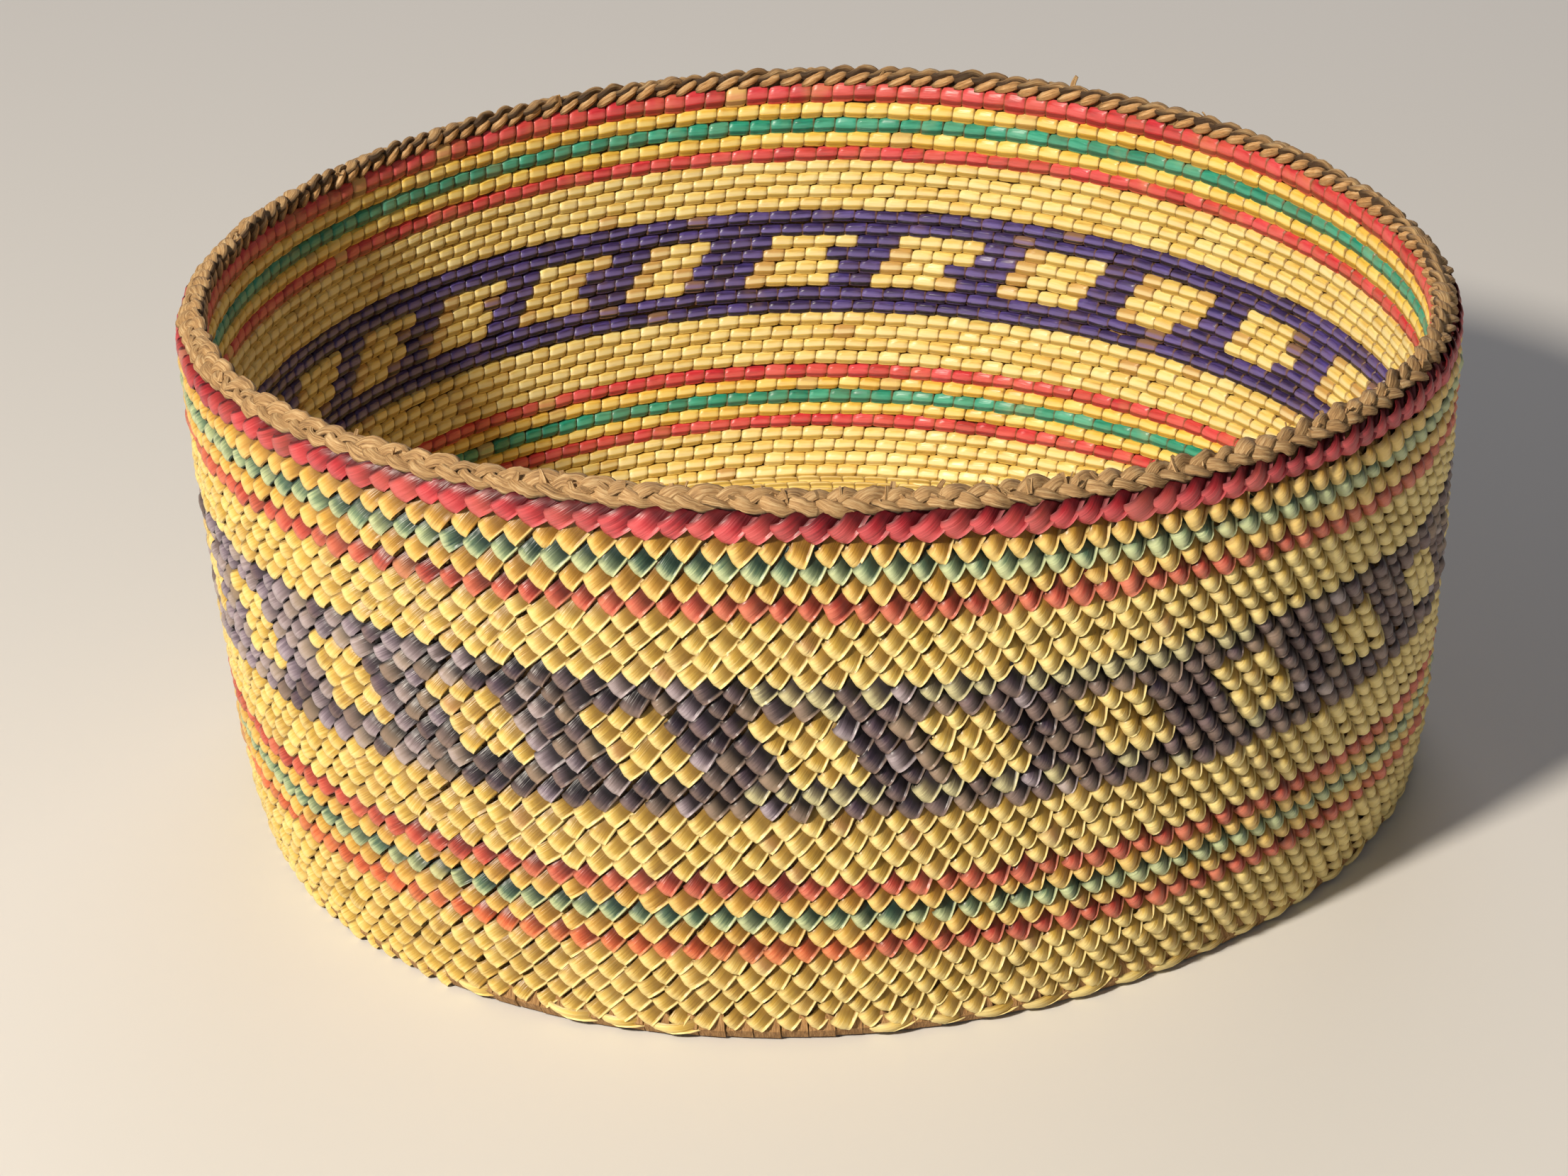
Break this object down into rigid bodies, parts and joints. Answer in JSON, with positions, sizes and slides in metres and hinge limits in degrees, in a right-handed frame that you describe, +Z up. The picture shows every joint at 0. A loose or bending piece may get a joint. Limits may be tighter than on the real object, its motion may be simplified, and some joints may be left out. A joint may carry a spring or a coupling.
{
  "type": "twined basket",
  "caption": "Low round open basket with a slightly flaring wall of wrapped-twined courses in coloured bands, a plaited edge on the rim and a plaited middle in the floor.",
  "frame": {"origin": "middle of the footprint's box, on the surface that the basket stands on", "axes": "+Z up out of the open top, +X to the right, and the side seen in the picture faces -Y"},
  "size_m": [0.1255, 0.1228, 0.056],
  "materials": {
    "natural_grass": "split bear grass, straw coloured, satin with fine lengthwise ribs",
    "gold_grass": "bear grass dyed golden yellow, satin",
    "red_grass": "bear grass dyed red, satin, a little faded outside",
    "green_grass": "bear grass dyed green, faded to sage outside",
    "purple_grass": "bear grass dyed purple, faded outside",
    "patterned_grass": "blocks of straw coloured and purple bear grass",
    "cedar_bark": "red cedar bark strip, dull brown, fibrous",
    "pale_bark": "plaited cedar bark, pale tan, dull, frayed"
  },
  "bodies": {
    "root": {"block_pattern_courses": "patterned_grass", "cedar_bark_warps": "cedar_bark", "floor_rounds_1": "natural_grass", "floor_rounds_2": "natural_grass", "floor_rounds_3": "natural_grass", "foot_twining": "natural_grass", "gold_high_course_lower": "gold_grass", "gold_high_course_upper": "gold_grass", "gold_low_course_lower": "gold_grass", "gold_low_course_upper": "gold_grass", "green_high_course": "green_grass", "green_low_course": "green_grass", "natural_high_courses": "natural_grass", "natural_low_courses": "natural_grass", "natural_middle_courses": "natural_grass", "passive_weft_lining": "natural_grass", "plait_strip_front_to_back_1": "cedar_bark", "plait_strip_front_to_back_2": "cedar_bark", "plait_strip_front_to_back_3": "cedar_bark", "plait_strip_front_to_back_4": "cedar_bark", "plait_strip_front_to_back_5": "cedar_bark", "plait_strip_front_to_back_6": "cedar_bark", "plait_strip_front_to_back_7": "cedar_bark", "plait_strip_left_to_right_1": "cedar_bark", "plait_strip_left_to_right_2": "cedar_bark", "plait_strip_left_to_right_3": "cedar_bark", "plait_strip_left_to_right_4": "cedar_bark", "plait_strip_left_to_right_5": "cedar_bark", "plait_strip_left_to_right_6": "cedar_bark", "plait_strip_left_to_right_7": "cedar_bark", "purple_lower_courses": "purple_grass", "purple_upper_courses": "purple_grass", "red_high_course": "red_grass", "red_low_course_lower": "red_grass", "red_low_course_upper": "red_grass", "red_top_course": "red_grass", "rim_braid": "pale_bark"}
  },
  "joints": []
}
